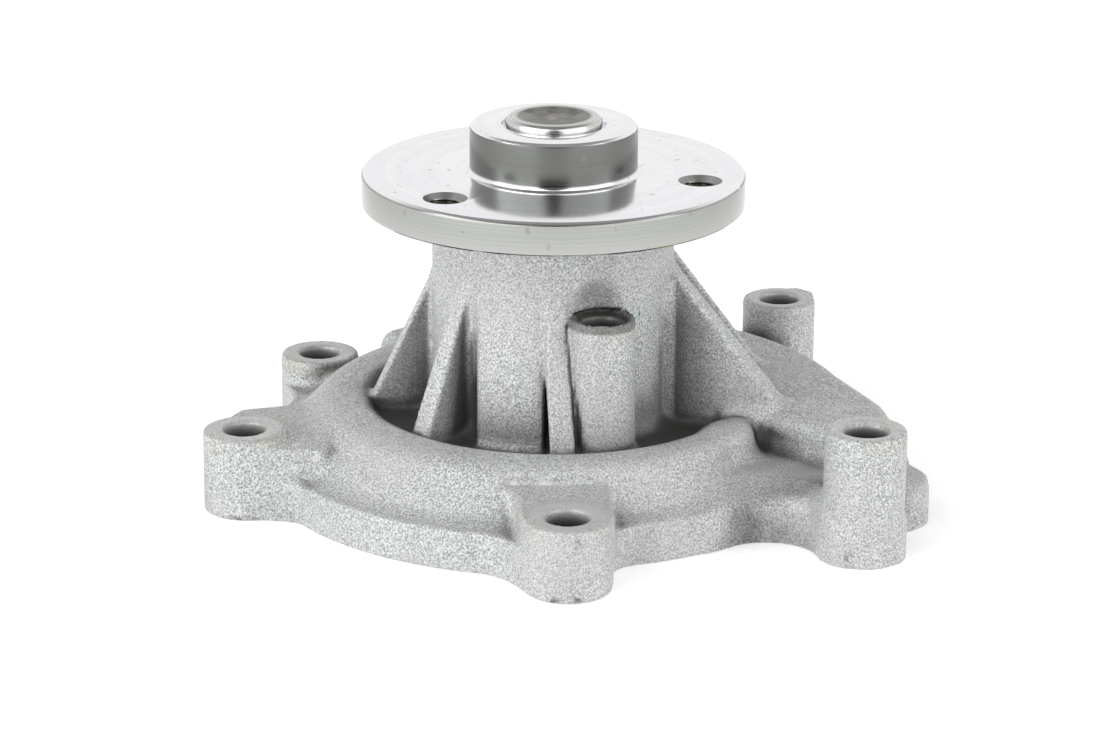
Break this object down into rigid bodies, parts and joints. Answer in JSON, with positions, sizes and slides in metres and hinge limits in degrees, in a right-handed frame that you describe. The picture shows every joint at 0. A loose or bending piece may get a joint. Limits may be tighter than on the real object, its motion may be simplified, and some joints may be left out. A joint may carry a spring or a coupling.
{
  "type": "engine coolant pump",
  "caption": "Cast engine coolant pump with a flanged, scroll-shaped housing, a ribbed bearing neck, a turned pulley flange with a pilot, and a vaned impeller behind a face seal.",
  "frame": {"origin": "where the shaft axis crosses the plane of the mounting face", "axes": "+Z along the shaft from the mounting face to the pulley flange, +X towards the outlet end of the scroll, +Y away from the front bolt boss"},
  "size_m": [0.12, 0.1196, 0.063],
  "materials": {
    "cast_aluminium": "shot-blasted casting",
    "turned_steel": "turned and ground",
    "shaft_steel": "ground",
    "bearing_steel": "ground",
    "polished_steel": "polished",
    "cage_nylon": "moulded",
    "black_rubber": "moulded",
    "brass_cup": "drawn",
    "spring_steel": "drawn",
    "carbon": "lapped",
    "white_ceramic": "lapped",
    "impeller_iron": "cast and machined"
  },
  "bodies": {
    "pump_body": {"housing": "cast_aluminium", "bearing_outer_race": "bearing_steel", "bearing_seal_upper": "black_rubber", "bearing_seal_lower": "black_rubber", "seal_cup": "brass_cup", "seal_spring": "spring_steel", "spring_retainer": "spring_steel", "seal_bellows": "black_rubber", "bellows_band": "spring_steel", "carbon_ring": "carbon"},
    "rotor": {"pulley_flange": "turned_steel", "shaft": "shaft_steel", "slinger": "black_rubber", "mating_ring": "white_ceramic", "mating_ring_cup": "black_rubber", "impeller": "impeller_iron", "impeller_bush": "shaft_steel"},
    "upper_ball_set": {"balls_upper": "polished_steel", "cage_upper": "cage_nylon"},
    "lower_ball_set": {"balls_lower": "polished_steel", "cage_lower": "cage_nylon"}
  },
  "joints": [
    {"name": "shaft_spin", "type": "hinge", "parent": "pump_body", "child": "rotor", "pos_m": [0, 0, 0.0328], "axis": [0, 0, 1], "continuous": true},
    {"name": "upper_balls_roll", "type": "hinge", "parent": "pump_body", "child": "upper_ball_set", "pos_m": [0, 0, 0.0386], "axis": [0, 0, 1], "continuous": true},
    {"name": "lower_balls_roll", "type": "hinge", "parent": "pump_body", "child": "lower_ball_set", "pos_m": [0, 0, 0.027], "axis": [0, 0, 1], "continuous": true}
  ],
  "couplings": [
    {"joint": "upper_balls_roll", "follows": "shaft_spin", "ratio": 0.3744},
    {"joint": "lower_balls_roll", "follows": "shaft_spin", "ratio": 0.3744}
  ]
}
